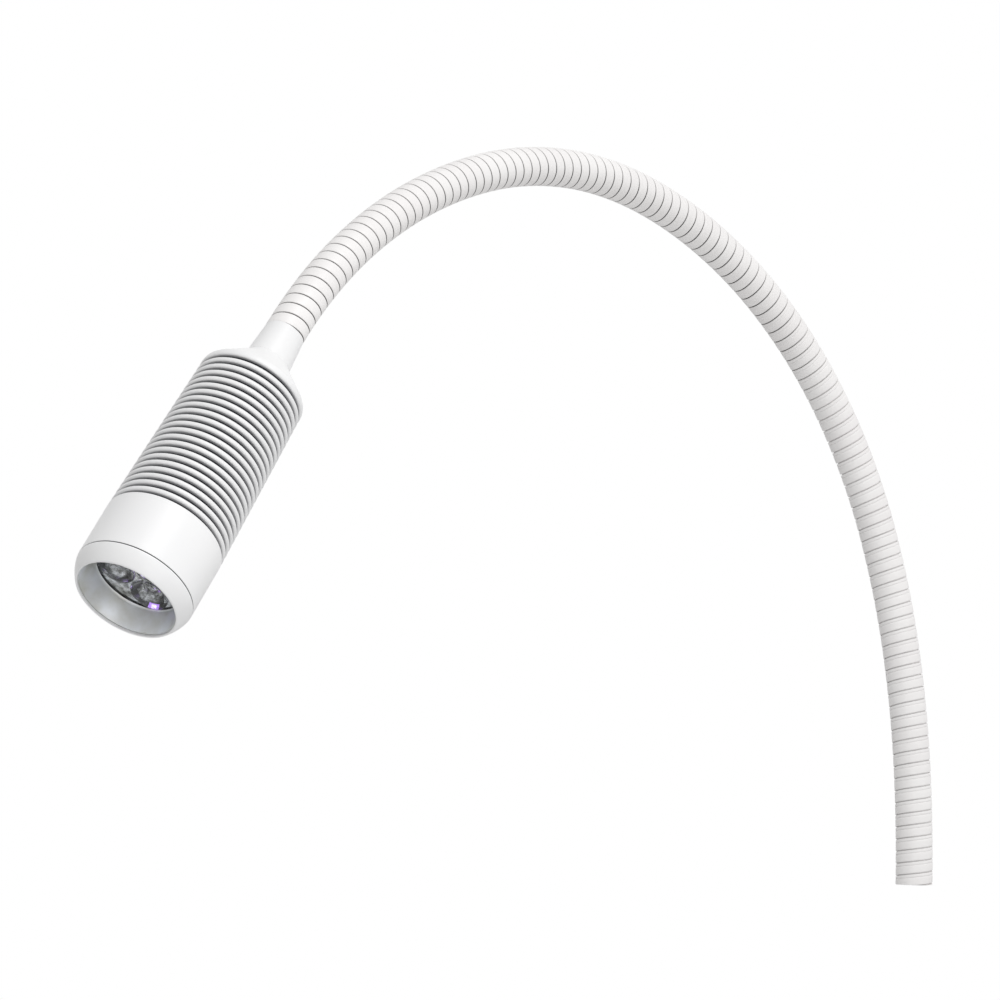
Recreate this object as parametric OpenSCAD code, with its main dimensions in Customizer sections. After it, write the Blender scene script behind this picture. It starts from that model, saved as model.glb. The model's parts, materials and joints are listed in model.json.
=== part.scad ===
// Examination lamp: a ribbed LED head on a stay-put gooseneck.
// The neck starts at the origin, rises along +Z with a slight lean to +Y, and arches over towards -X.
// It is built as a chain of links, each a circular arc that runs on smoothly from the one before.
// Neighbouring links meet in a ball end and a hollow end, centred on the bending point.

/* [Gooseneck] */
// Outside diameter of the white outer hose
neck_d = 20; // [19:0.5:21]
// Bore of the outer hose
hose_bore_d = 17; // [16.8:0.1:17.4]
// Outside diameter of the steel spring core
spring_d = 16.2; // [15:0.1:16.4]
// Bore of the spring core
spring_bore_d = 10; // [9.5:0.5:12]
// Length of one link along its centre line
link_len = 62.8; // [60:0.1:66]
// Bend of each link as the neck stands, from the foot to the head, in degrees
link_bends = [4, 5, 7.5, 13, 16.5, 17.5, 16.5, 16.5, 14, 11, 11, 13]; // [4:0.5:18]
// Side to which each link bends, turned about the neck from the -X side, in degrees
link_sides = [-75, -55, -20, -5, 1, 3, 5, 2, 0, -3, -1, -11]; // [-90:1:90]
// Diameter of the lead in the neck
lead_d = 5.6; // [5:0.2:6]

/* [Foot] */
// Length of the threaded insert in the neck's foot
insert_len = 25; // [20:1:30]
// Minor diameter of the M10 x 1 thread in the insert
thread_minor_d = 8.92; // [8.8:0.02:9.2]
// Depth of that thread
thread_depth = 14; // [10:1:16]

/* [Head] */
// Distance from the neck's end to the bezel's front edge
head_len = 172.6; // [172:0.1:175]
// Diameter of the head's plain front section
head_d = 59.4; // [58.4:0.2:60.4]
// Diameter of the ribbed body at its rear end
head_rear_d = 54; // [53:0.5:56]
// Centre of the rearmost rib groove, from the neck's end
rib_start = 40.6; // [40:0.2:41]
// Distance from one rib groove to the next
rib_pitch = 4.32; // [4.2:0.01:4.35]
// Number of rib grooves, counting the seam at the rear cap
rib_grooves = 22; // [18:1:22]
// Width of a rib groove
groove_w = 1.8; // [1.2:0.1:2.2]
// Depth of a rib groove
groove_depth = 3.2; // [2:0.1:3.5]
// Front edge of the barrel, where the bezel ring starts
seam_z = 163.1; // [162.8:0.1:163.4]
// Opening of the bezel's lip
lip_d = 50; // [49.4:0.2:50.4]
// Diameter of the recess at the lens
recess_d = 44; // [43:0.5:45]
// Diameter of the collar at the neck and at the head
collar_ends = [20.2, 22.8]; // [20.2:0.2:23.2]
// Angle between the rear cap's cone and the head's axis
cap_angle = 43; // [41:1:47]
// Distance of each light-emitting diode from the head's axis
led_ring_r = 11.5; // [11:0.1:12]
// Turn of the diodes and the lens about the head's axis
led_turn = 43; // [0:1:119]

/* [Hidden] */
$fn = 96;
link_count = len(link_bends);
LINKS = [for (k = [1:link_count]) str(k)];
HEAD_NODES = ["neck_collar", "collar_nipple", "nipple_nut", "nipple_washer", "cord_grip", "rear_cap",
    "barrel", "head_lead", "driver_board", "driver_parts", "driver_screws", "led_wires", "thermal_pad", "led_board",
    "led_chips", "board_screws", "optic_holder", "optic", "optic_seal", "recess_cone", "bezel_ring"];

// Ball end: outer and inner radius, how far it reaches back, and where the full tube starts
ball_r = 9.9;
ball_bore_r = 8.6;
ball_back = 5;
shoulder = 3.5;
// Hollow that takes the next link's ball
socket_r = 10.2;
// The same joint on the lead
lead_ball_r = lead_d / 2 - 0.05;
lead_socket_r = lead_d / 2 + 0.2;
lead_shoulder = 1.3;
// Spring core: where it starts beside the ball, and its gap to the next socket
spring_start = shoulder + 0.9;
spring_stop = 10.5;
// Clearance of a screwed or pushed fit, and of the bezel's gap
fit_gap = 0.05;
seam_gap = 0.5;
// Foot
fit_len = 8;
insert_tail_r = 7.9;
connector_r = 3.8;
connector_start = insert_len + 3;
connector_len = 10;
// Collar
spigot_len = 12;
spigot_fit = 3;
spigot_tail_r = 8.1;
nipple_r = 5;
nipple_bore_r = 3.6;
nipple_start = 6;
// Rear cap: a cone that runs on smoothly into a rounded edge
cap_front = rib_start - groove_w / 2;
cap_round = 3;
cap_round_r = head_rear_d / 2 - cap_round;
cap_round_z = cap_front - 2;
cap_mouth_r = collar_ends[1] / 2 + 0.1;
cap_cone_r = cap_round_r + cap_round * cos(cap_angle);
cap_cone_z = cap_round_z - cap_round * sin(cap_angle);
cap_rear = cap_cone_z - (cap_cone_r - cap_mouth_r) / tan(cap_angle);
cap_floor_r = 10;
cap_floor = cap_rear + 5;
collar_len = cap_rear - 0.2;
nipple_end = cap_floor + 7.5;
cap_spigot_r = 21.95;
cap_spigot_end = 48;
cap_bore_r = 19.6;
// Barrel
barrel_rear = rib_start + groove_w / 2;
ribs_end = rib_start + (rib_grooves - 1) * rib_pitch;
rear_bore_r = 22;
rear_bore_end = 50;
board_bore_r = 20.3;
board_ledge = 60;
driver_bore_r = 16;
web_rear = 130;
web_front = 142;
front_bore_r = 24.6;
cone_seat = 158.5;
cone_bore_r = 26.3;
bezel_spigot_r = 27.5;
bezel_spigot_end = 166.5;
rib_edge = 0.5;
wire_hole_r = 3;
// Electronics
pcb_t = 1.6;
driver_pcb_r = 20;
driver_front = board_ledge;
driver_rear = board_ledge - pcb_t;
driver_screw_r = 18;
pad_t = 0.5;
led_pcb_r = 22;
led_rear = web_front + pad_t;
led_front = led_rear + pcb_t;
board_screw_ring = 19;
// Optics
optic_flange_t = 1.2;
optic_flange = 157.4;
optic_front = 159.4;
lens_r = 9.6;
lens_foot_r = 4.2;
lens_foot = 146.2;
seal_r = 0.85;
seal_ring_r = 23.3;
cone_rear = optic_flange + optic_flange_t + 2 * seal_r;
// Bezel
bezel_rear = seam_z + seam_gap;
crown_r = 24;
crown_centre = [6.3, 158.6];
lip_t = 1.2;
lip_z = head_len - lip_t;
cone_front = lip_z - 0.2;
cone_t = 0.8;

// Colours
white = [0.93, 0.92, 0.90];
cool_white = [0.95, 0.95, 0.95];
steel = [0.62, 0.63, 0.65];
satin = [0.72, 0.73, 0.74];
black = [0.10, 0.10, 0.11];
copper_red = [0.70, 0.12, 0.10];

// Radius and angle of link k's centre line
function arc_r(k) = link_len / (link_bends[k - 1] * PI / 180);
function arc_angle(k, distance) = distance / arc_r(k) * 180 / PI;

// Places its children on link k's centre line, this far from the link's start
module along_link(k, distance) {
    a = arc_angle(k, distance);
    r = arc_r(k);
    rotate([0, 0, link_sides[k - 1]])
        translate([-r * (1 - cos(a)), 0, r * sin(a)])
            rotate([0, -a, 0])
                rotate([0, 0, -link_sides[k - 1]])
                    children();
}

// Places its children at the start of link k, with +Z along the neck
module at_link(k) {
    if (k == 1) {
        children();
    } else {
        at_link(k - 1)
            along_link(k - 1, link_len)
                children();
    }
}

// Places its children at the neck's end, with +Z towards the lamp's front
module at_head() {
    at_link(link_count)
        along_link(link_count, link_len)
            children();
}

// Round section swept along link k's centre line between two distances from its start
module arc_sweep(k, outer_r, inner_r, from, to) {
    r = arc_r(k);
    rotate([0, 0, link_sides[k - 1]])
        rotate([90, 0, 0])
            translate([-r, 0, 0])
                rotate([0, 0, arc_angle(k, from)])
                    rotate_extrude(angle = arc_angle(k, to - from), $fn = 360)
                        translate([r, 0])
                            difference() {
                                circle(outer_r, $fn = 48);
                                if (inner_r > 0) circle(inner_r, $fn = 48);
                            }
}

module tube(outer_r, inner_r, z0, z1) {
    translate([0, 0, z0])
        difference() {
            cylinder(r = outer_r, h = z1 - z0);
            translate([0, 0, -1])
                cylinder(r = inner_r, h = z1 - z0 + 2);
        }
}

module rod(r, z0, z1) {
    translate([0, 0, z0])
        cylinder(r = r, h = z1 - z0);
}

// Three or more copies around the axis
module around(count, start = 0) {
    for (i = [0:count - 1])
        rotate([0, 0, start + i * 360 / count])
            children();
}

// ---------- gooseneck ----------

// Ball end of a hose link: a thin shell, open at the back and into the tube
module ball_end() {
    difference() {
        intersection() {
            sphere(ball_r);
            rod(ball_r + 1, -ball_back, shoulder + 0.6);
        }
        sphere(ball_bore_r);
    }
}

// One link of the strip-wound outer hose
module neck_hose(k) {
    start = k == 1 ? 0 : shoulder;
    color(white)
        at_link(k)
            difference() {
                union() {
                    if (k > 1) ball_end();
                    arc_sweep(k, neck_d / 2, hose_bore_d / 2, start, link_len);
                }
                if (k < link_count)
                    along_link(k, link_len)
                        sphere(socket_r);
            }
}

// One link of the steel spring core, drawn as a plain tube
module neck_spring(k) {
    start = k == 1 ? insert_len + 0.5 : spring_start;
    stop = k == link_count ? spigot_len + 0.5 : spring_stop;
    color(steel)
        at_link(k)
            arc_sweep(k, spring_d / 2, spring_bore_d / 2, start, link_len - stop);
}

// One link of the two-core lead that runs through the neck
module neck_lead(k) {
    start = k == 1 ? connector_start + connector_len + 0.2 : lead_shoulder;
    color(black)
        at_link(k)
            difference() {
                union() {
                    if (k > 1) sphere(lead_ball_r, $fn = 48);
                    arc_sweep(k, lead_d / 2, 0, start, link_len);
                }
                if (k < link_count)
                    along_link(k, link_len)
                        sphere(lead_socket_r, $fn = 48);
            }
}

// ---------- foot of the neck ----------

// Turned insert: a close fit at the mouth, and slimmer where the neck starts to curve
module base_insert() {
    color(steel)
        difference() {
            union() {
                rod(hose_bore_d / 2 - fit_gap, 0, fit_len);
                rod(insert_tail_r, fit_len - 1, insert_len);
            }
            rod(thread_minor_d / 2, -1, thread_depth);
            rod(lead_d / 2 + 0.4, thread_depth - 1, insert_len + 1);
        }
}

// Two-pole coupling on the lower end of the lead
module lead_connector() {
    color(cool_white)
        along_link(1, connector_start)
            difference() {
                rod(connector_r, 0, connector_len);
                around(2)
                    translate([connector_r / 2, 0, 0])
                        rod(0.8, -1, connector_len - 4);
            }
}

// ---------- joint between neck and head ----------

// White cone with a spigot that goes up into the hose
module neck_collar() {
    color(cool_white)
        at_head()
            difference() {
                union() {
                    cylinder(d1 = collar_ends[0], d2 = collar_ends[1], h = collar_len);
                    rod(hose_bore_d / 2 - fit_gap, -spigot_fit, 1);
                    rod(spigot_tail_r, -spigot_len, 0.5);
                }
                rod(4, -spigot_len - 1, nipple_start);
                rod(nipple_r + fit_gap, nipple_start - 1, collar_len + 1);
            }
}

module collar_nipple() {
    color(steel)
        at_head()
            tube(nipple_r, nipple_bore_r, nipple_start, nipple_end);
}

module nipple_washer() {
    color(steel)
        at_head()
            tube(9, nipple_r + 0.2, cap_floor, cap_floor + 1);
}

module nipple_nut() {
    across_flats = 14;
    z0 = cap_floor + 1;
    color(steel)
        at_head()
            difference() {
                translate([0, 0, z0])
                    cylinder(d = across_flats / cos(30), h = 4, $fn = 6);
                rod(nipple_r + fit_gap, z0 - 1, z0 + 5);
            }
}

module cord_grip() {
    color(black)
        at_head()
            tube(7, lead_d / 2 + fit_gap, nipple_end + 0.2, nipple_end + 7);
}

// ---------- head housing ----------

// Turned cap with a conical back, hollow inside, and a spigot that goes into the barrel
module rear_cap() {
    r = head_rear_d / 2;
    color(cool_white)
        at_head()
            rotate_extrude()
                difference() {
                    union() {
                        translate([cap_round_r, cap_round_z])
                            circle(cap_round);
                        polygon([
                            [0, cap_rear],
                            [cap_mouth_r, cap_rear],
                            [cap_cone_r, cap_cone_z],
                            [cap_round_r, cap_round_z],
                            [r, cap_round_z],
                            [r, cap_front],
                            [cap_spigot_r, cap_front],
                            [cap_spigot_r, cap_spigot_end],
                            [0, cap_spigot_end],
                        ]);
                    }
                    polygon([
                        [0, cap_floor],
                        [cap_floor_r, cap_floor],
                        [cap_bore_r, cap_floor + (cap_bore_r - cap_floor_r) / tan(cap_angle)],
                        [cap_bore_r, cap_spigot_end + 1],
                        [0, cap_spigot_end + 1],
                    ]);
                    square([nipple_r + 0.2, cap_spigot_end]);
                }
}

// Radius of the head's tapered outside at height z
function rib_r(z) =
    head_rear_d / 2
    + (head_d - head_rear_d) / 2 * min(max((z - rib_start) / (ribs_end - rib_start), 0), 1);

// Outline of rib i: straight flanks, bevelled edges and a root on each side
function rib_outline(i) =
    let (
        z0 = rib_start + i * rib_pitch + groove_w / 2,
        z1 = z0 + rib_pitch - groove_w,
        r = rib_r((z0 + z1) / 2)
    )
    [
        [r - groove_depth, z0],
        [r - rib_edge, z0],
        [r, z0 + rib_edge],
        [r, z1 - rib_edge],
        [r - rib_edge, z1],
        [r - groove_depth, z1],
    ];

// The barrel is turned from bar: ribs outside, a chamber at each end and a solid web between
module barrel() {
    front_r = head_d / 2;
    color(cool_white)
        at_head()
            difference() {
                rotate_extrude()
                    polygon(concat(
                        [[rear_bore_r, barrel_rear]],
                        [for (i = [0:rib_grooves - 2], p = rib_outline(i)) p],
                        [
                            [front_r - groove_depth, ribs_end + groove_w / 2],
                            [front_r - rib_edge, ribs_end + groove_w / 2],
                            [front_r, ribs_end + groove_w / 2 + rib_edge],
                            [front_r, seam_z],
                            [bezel_spigot_r, seam_z],
                            [bezel_spigot_r, bezel_spigot_end],
                            [cone_bore_r, bezel_spigot_end],
                            [cone_bore_r, cone_seat],
                            [front_bore_r, cone_seat],
                            [front_bore_r, web_front],
                            [wire_hole_r, web_front],
                            [wire_hole_r, web_rear],
                            [driver_bore_r, web_rear],
                            [driver_bore_r, board_ledge],
                            [board_bore_r, board_ledge],
                            [board_bore_r, rear_bore_end],
                            [rear_bore_r, rear_bore_end],
                        ]));
                around(3, led_turn + 60)
                    translate([board_screw_ring, 0, 0])
                        rod(1.3, web_front - 8, web_front + 1);
                around(2, 90)
                    translate([driver_screw_r, 0, 0])
                        rod(0.9, board_ledge - 1, board_ledge + 6);
            }
}

// ---------- electronics ----------

// End of the lead, from the neck to the driver board
module head_lead() {
    color(black)
        at_head()
            rod(lead_d / 2, 0, driver_rear);
}

module driver_board() {
    color("darkgreen")
        at_head()
            difference() {
                rod(driver_pcb_r, driver_rear, driver_front);
                around(2, 90)
                    translate([driver_screw_r, 0, 0])
                        rod(1.1, driver_rear - 1, driver_front + 1);
                around(2)
                    translate([1.6, 0, 0])
                        rod(0.7, driver_rear - 1, driver_front + 1);
            }
}

// Choke, capacitor and regulator of the constant-current driver
module driver_parts() {
    color(black)
        at_head()
            union() {
                translate([8, 0, 0])
                    tube(5, 1.5, driver_front, driver_front + 7);
                translate([-7.5, 4.5, 0])
                    rod(4, driver_front, driver_front + 11);
                translate([-9, -8, driver_front])
                    cube([6, 5, 1.8]);
            }
}

module driver_screws() {
    color(steel)
        at_head()
            around(2, 90)
                translate([driver_screw_r, 0, 0]) {
                    rod(1.7, driver_rear - 1.3, driver_rear);
                    rod(0.85, driver_rear - 0.5, driver_front + 5);
                }
}

// Two wires from the driver through the web to the LED board
module led_wires() {
    wire_r = 0.65;
    color(copper_red)
        at_head()
            around(2)
                translate([1.6, 0, 0])
                    union() {
                        rod(wire_r, driver_rear, led_front + 1);
                        translate([0, 0, led_front + wire_r])
                            rotate([0, 90, 0])
                                rod(wire_r, 0, 3.4);
                    }
}

module thermal_pad() {
    color("lightslategray")
        at_head()
            difference() {
                rod(led_pcb_r, web_front, led_rear);
                rod(wire_hole_r, web_front - 1, led_rear + 1);
                around(3, led_turn + 60)
                    translate([board_screw_ring, 0, 0])
                        rod(1.6, web_front - 1, led_rear + 1);
            }
}

module led_board() {
    color("ghostwhite")
        at_head()
            difference() {
                rod(led_pcb_r, led_rear, led_front);
                rod(wire_hole_r, led_rear - 1, led_front + 1);
                around(3, led_turn + 60)
                    translate([board_screw_ring, 0, 0])
                        rod(1.6, led_rear - 1, led_front + 1);
            }
}

module led_chips() {
    side = 3.4;
    color("gold")
        at_head()
            around(3, led_turn)
                translate([led_ring_r, 0, led_front])
                    union() {
                        translate([-side / 2, -side / 2, 0])
                            cube([side, side, 0.9]);
                        intersection() {
                            translate([0, 0, 0.5])
                                sphere(1.4);
                            rod(1.5, 0.4, 2);
                        }
                    }
}

module board_screws() {
    color(steel)
        at_head()
            around(3, led_turn + 60)
                translate([board_screw_ring, 0, 0]) {
                    rod(2.6, led_front, led_front + 1.8);
                    rod(1.25, web_front - 7, led_front + 1);
                }
}

// ---------- optics ----------

module optic_holder() {
    plate_z = 150;
    color(black)
        at_head()
            difference() {
                union() {
                    tube(front_bore_r - 0.2, led_pcb_r + 0.3, led_front, optic_flange);
                    rod(led_pcb_r + 1, plate_z, plate_z + 2);
                }
                around(3, led_turn)
                    translate([led_ring_r, 0, 0])
                        rod(8.2, plate_z - 1, plate_z + 3);
            }
}

// One clear moulding with three lens bodies, a flange and three raised round faces
module optic() {
    color([0.85, 0.88, 0.92, 0.5])
        at_head()
            difference() {
                union() {
                    rod(front_bore_r - 0.2, optic_flange, optic_flange + optic_flange_t);
                    around(3, led_turn)
                        translate([led_ring_r, 0, 0]) {
                            translate([0, 0, lens_foot])
                                cylinder(r1 = lens_foot_r, r2 = lens_r, h = optic_flange - lens_foot + 0.4);
                            rod(lens_r + 0.2, optic_flange + 0.7, optic_front);
                        }
                }
                around(3, led_turn)
                    translate([led_ring_r, 0, 0])
                        rod(2.6, lens_foot - 1, lens_foot + 3);
            }
}

module optic_seal() {
    color(black)
        at_head()
            rotate_extrude()
                translate([seal_ring_r, optic_flange + optic_flange_t + seal_r])
                    circle(seal_r, $fn = 32);
}

// Satin cone between the lens and the bezel's lip, with a thin skirt that hides the seal
module recess_cone() {
    r0 = recess_d / 2;
    r1 = lip_d / 2 - 0.3;
    skirt = optic_flange + optic_flange_t + 0.2;
    skirt_t = 0.35;
    color(satin)
        at_head()
            rotate_extrude()
                polygon([
                    [r0, skirt],
                    [r0, optic_front + 0.2],
                    [r1, cone_front],
                    [r1 + cone_t, cone_front],
                    [r0 + cone_t + 0.6, cone_rear + 1.5],
                    [cone_bore_r - 0.2, cone_rear + 1.5],
                    [cone_bore_r - 0.2, cone_rear],
                    [r0 + skirt_t, cone_rear],
                    [r0 + skirt_t, skirt],
                ]);
}

// Screwed white ring with a crowned, tapering outside and a lip that holds the cone
module bezel_ring() {
    r = head_d / 2;
    lip_r = lip_d / 2;
    color(cool_white)
        at_head()
            rotate_extrude()
                difference() {
                    intersection() {
                        translate([lip_r, bezel_rear])
                            square([r - lip_r, head_len - bezel_rear]);
                        translate(crown_centre)
                            circle(crown_r, $fn = 360);
                    }
                    polygon([
                        [0, bezel_rear - 1],
                        [bezel_spigot_r + fit_gap, bezel_rear - 1],
                        [bezel_spigot_r + fit_gap, bezel_spigot_end + 0.3],
                        [lip_r + 0.65, lip_z],
                        [0, lip_z],
                    ]);
                }
}

base_insert();
lead_connector();
for (k = [1:link_count]) {
    neck_hose(k);
    neck_spring(k);
    neck_lead(k);
}
neck_collar();
collar_nipple();
nipple_nut();
nipple_washer();
cord_grip();
rear_cap();
barrel();
head_lead();
driver_board();
driver_parts();
driver_screws();
led_wires();
thermal_pad();
led_board();
led_chips();
board_screws();
optic_holder();
optic();
optic_seal();
recess_cone();
bezel_ring();
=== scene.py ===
import json
import math

import bmesh
import bpy
from mathutils import Matrix, Vector

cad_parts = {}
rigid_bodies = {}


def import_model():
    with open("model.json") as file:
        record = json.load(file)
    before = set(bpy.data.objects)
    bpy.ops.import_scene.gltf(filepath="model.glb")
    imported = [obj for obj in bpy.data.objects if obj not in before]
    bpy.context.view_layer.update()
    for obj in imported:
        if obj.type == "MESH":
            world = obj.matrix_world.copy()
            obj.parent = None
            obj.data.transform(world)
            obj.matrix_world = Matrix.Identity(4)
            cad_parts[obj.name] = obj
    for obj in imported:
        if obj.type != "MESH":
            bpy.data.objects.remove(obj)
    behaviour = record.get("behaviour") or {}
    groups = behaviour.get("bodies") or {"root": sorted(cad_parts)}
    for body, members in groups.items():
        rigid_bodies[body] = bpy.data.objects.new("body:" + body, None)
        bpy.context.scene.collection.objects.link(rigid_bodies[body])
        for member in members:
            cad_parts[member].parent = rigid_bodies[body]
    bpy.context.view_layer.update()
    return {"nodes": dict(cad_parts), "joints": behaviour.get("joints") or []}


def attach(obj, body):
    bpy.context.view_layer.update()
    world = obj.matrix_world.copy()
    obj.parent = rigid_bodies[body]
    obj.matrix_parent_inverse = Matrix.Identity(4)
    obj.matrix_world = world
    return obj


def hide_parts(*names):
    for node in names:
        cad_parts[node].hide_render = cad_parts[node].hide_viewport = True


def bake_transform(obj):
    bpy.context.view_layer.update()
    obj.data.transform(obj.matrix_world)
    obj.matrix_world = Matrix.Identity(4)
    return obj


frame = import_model()


# ---------------------------------------------------------------------------
# Foot of the neck: a turned steel insert with a female thread, and the white
# two-pole coupling on the lead above it. Both sit inside the hose and are
# built as solids in the frame, so here they only get their finishes.
# ---------------------------------------------------------------------------
MM = 0.001


def node_in(tree, kind, inputs=None, **settings):
    """Adds a node, sets its options, and sets or wires its inputs by name or number."""
    node = tree.nodes.new(kind)
    for option, value in settings.items():
        setattr(node, option, value)
    for socket, value in (inputs or {}).items():
        if isinstance(value, bpy.types.NodeSocket):
            tree.links.new(value, node.inputs[socket])
        else:
            node.inputs[socket].default_value = value
    return node


def calc(tree, operation, *values):
    """One sum on numbers in a node tree."""
    return node_in(
        tree, "ShaderNodeMath", dict(enumerate(values)), operation=operation
    ).outputs[0]


def ranged(tree, value, start, stop, low=0.0, high=1.0):
    """A value carried over from one range to another, and held at the ends."""
    return node_in(
        tree,
        "ShaderNodeMapRange",
        {"Value": value, "From Min": start, "From Max": stop, "To Min": low, "To Max": high},
    ).outputs[0]


def mixed(tree, share, colour, other):
    """A colour between two others."""
    return node_in(
        tree, "ShaderNodeMix", {0: share, 6: colour, 7: other}, data_type="RGBA"
    ).outputs[2]


def mottle(tree, place, size_mm, detail):
    """Soft random spots of about this size."""
    scale = 1 / (size_mm * MM)
    return node_in(
        tree, "ShaderNodeTexNoise", {"Vector": place, "Scale": scale, "Detail": detail}
    ).outputs[0]


def shop_finish(
    name,
    colour,
    patch_colour,
    rough,
    patch_mm,
    grain_mm,
    depth_mm,
    metallic=0.0,
    stretch=(1, 1, 1),
    soil_and_shade_colour=(0.2, 0.2, 0.2),
    wear_and_highlight_colour=None,
):
    """A finish with soft patches, a fine grain, recesses darkened by dirt and painted shade, and
    rubbed edges.

    The piece's own attributes say where recesses darken, with dirt and painted shade, and where
    edges rub; on the optic a rubbed mark stands for a painted white highlight.
    """
    material = bpy.data.materials.new(name)
    material.use_nodes = True
    tree = material.node_tree
    shader = tree.nodes["Principled BSDF"]
    shader.inputs["Metallic"].default_value = metallic
    place = node_in(tree, "ShaderNodeTexCoord").outputs["Object"]
    place = node_in(tree, "ShaderNodeMapping", {"Vector": place, "Scale": stretch}).outputs[0]
    patches = mottle(tree, place, patch_mm, 4.0)
    grain = mottle(tree, place, grain_mm, 2.0)
    even = ranged(tree, patches, 0.35, 0.65)
    # Recesses take the dark colour as dirt and as painted shade; rubbed marks take the worn
    # colour, which on the optic's glint is a painted white highlight.
    soil = node_in(tree, "ShaderNodeAttribute", attribute_name="soil").outputs["Fac"]
    rub_and_highlight = node_in(tree, "ShaderNodeAttribute", attribute_name="rub_and_highlight").outputs["Fac"]
    tone = mixed(tree, even, (*colour, 1), (*patch_colour, 1))
    tone = mixed(tree, soil, tone, (*soil_and_shade_colour, 1))
    tone = mixed(tree, calc(tree, "MULTIPLY", rub_and_highlight, even), tone, (*(wear_and_highlight_colour or patch_colour), 1))
    tree.links.new(tone, shader.inputs["Base Color"])
    tree.links.new(ranged(tree, patches, 0.3, 0.7, *rough), shader.inputs["Roughness"])
    bump = node_in(
        tree, "ShaderNodeBump", {"Height": grain, "Strength": 0.6, "Distance": depth_mm * MM}
    ).outputs[0]
    tree.links.new(bump, shader.inputs["Normal"])
    return material


def finish_nodes(material, *names):
    """Gives solids of the frame their finish."""
    for name in names:
        mesh = frame["nodes"][name].data
        mesh.materials.clear()
        mesh.materials.append(material)


zinc_steel = shop_finish(
    "zinc_steel",
    (0.60, 0.61, 0.63),
    (0.52, 0.53, 0.52),
    rough=(0.22, 0.38),
    patch_mm=6,
    grain_mm=0.25,
    depth_mm=0.01,
    metallic=1.0,
    stretch=(1, 1, 6),
)
connector_plastic = shop_finish(
    "connector_plastic",
    (0.82, 0.80, 0.74),
    (0.78, 0.75, 0.68),
    rough=(0.35, 0.5),
    patch_mm=5,
    grain_mm=0.3,
    depth_mm=0.01,
)
finish_nodes(zinc_steel, "base_insert")
finish_nodes(connector_plastic, "lead_connector")


# ---------------------------------------------------------------------------
# Inside the neck: a close-wound steel spring core that holds the bend, and the
# two-core lead that runs through it. They stay hidden in the hose, link by link.
# ---------------------------------------------------------------------------
LINKS = range(1, 13)
spring_steel = shop_finish(
    "spring_steel",
    (0.42, 0.42, 0.43),
    (0.33, 0.33, 0.34),
    rough=(0.3, 0.45),
    patch_mm=8,
    grain_mm=0.4,
    depth_mm=0.02,
    metallic=1.0,
)
lead_sheath = shop_finish(
    "lead_sheath",
    (0.035, 0.035, 0.038),
    (0.05, 0.05, 0.052),
    rough=(0.45, 0.6),
    patch_mm=12,
    grain_mm=0.5,
    depth_mm=0.02,
)
finish_nodes(spring_steel, *[f"neck_spring_{k}" for k in LINKS])
finish_nodes(lead_sheath, *[f"neck_lead_{k}" for k in LINKS], "head_lead")


# ---------------------------------------------------------------------------
# The neck's outer hose: a formed steel strip wound round and round, each turn
# hooked under the next, then coated off-white. A turn covers 6.6 mm. A narrow
# gap shows between the turns, and low on the neck the edge of the hidden hook
# shows as a fine line across each turn. The gap is painted darker deeper down and
# darker still on the side that faces the middle of the arch, both as painted
# shade, and it also darkens from the foot towards the head.
# ---------------------------------------------------------------------------
BEZEL_PIVOT = 168 * MM
LINK_LENGTH = 62.8 * MM
HOSE_RADIUS = 10 * MM
ARC_STEPS = 30
STRIP_FACETS = 56
STRIP_PITCH = 6.6014 * MM
STRIP_CORNER, RIB_CORNER, TURNED_CORNER = (math.radians(x) for x in (50, 35, 32))
# The strip's outline in millimetres, as (along the hose, out from its middle).
STRIP_SECTION = (
    (0.00, 9.20),
    (0.03, 9.70),
    (0.12, 9.90),
    (0.35, 9.98),
    (0.80, 10.0),
    (2.70, 10.0),
    (4.06, 9.99),
    (4.24, 9.92),
    (4.36, 9.68),
    (4.50, 9.88),
    (4.72, 9.95),
    (5.80, 9.94),
    (5.94, 9.88),
    (6.02, 9.74),
    (6.04, 9.06),
    (7.09, 9.03),
    (7.09, 8.92),
    (6.06, 8.90),
    (6.02, 8.60),
    (0.46, 8.60),
    (0.42, 9.10),
)
GAP_MIDDLE, GAP_AT_FOOT = 6.32 * MM, 2.13 * MM
# The fine line's place on the strip, and where on the hose it fades out.
FINE_LINE, FINE_LINE_REACH = 4.37 * MM, 0.16 * MM
FINE_LINE_TO, FINE_LINE_GONE = 250 * MM, 380 * MM
# The gaps are painted darker by the depth under the hose's surface and on the
# side that faces the middle of the arch, both as painted shade, and darker
# further from the foot.
FAINT_GAP_SHADE, FAINT_GAP_SHADE_FROM, FAINT_GAP_SHADE_TO = 0.35, 9.92 * MM, 9.80 * MM
DEEP_GAP_SHADE, DEEP_GAP_SHADE_FROM, DEEP_GAP_SHADE_TO = 0.65, 9.72 * MM, 9.40 * MM
GAP_SHARE_AT_FOOT, GAP_LIGHT_TO, GAP_DARK_FROM = 0.06, 270 * MM, 520 * MM
INNER_SIDE_SHADE, INNER_SIDE_FULL = 3.0, 0.8
ARCH_MIDDLE = (-0.28, 0.02, 0.22)

neck_joints = [j for j in frame["joints"] if j["name"] != "bezel_turn"]
bezel_joint = next(j for j in frame["joints"] if j["name"] == "bezel_turn")
head_axis = Vector(bezel_joint["axis"]).normalized()
neck_end = Vector(bezel_joint["pos_m"]) - BEZEL_PIVOT * head_axis
bend_points = [Vector((0, 0, 0))] + [Vector(j["pos_m"]) for j in neck_joints] + [neck_end]

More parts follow.
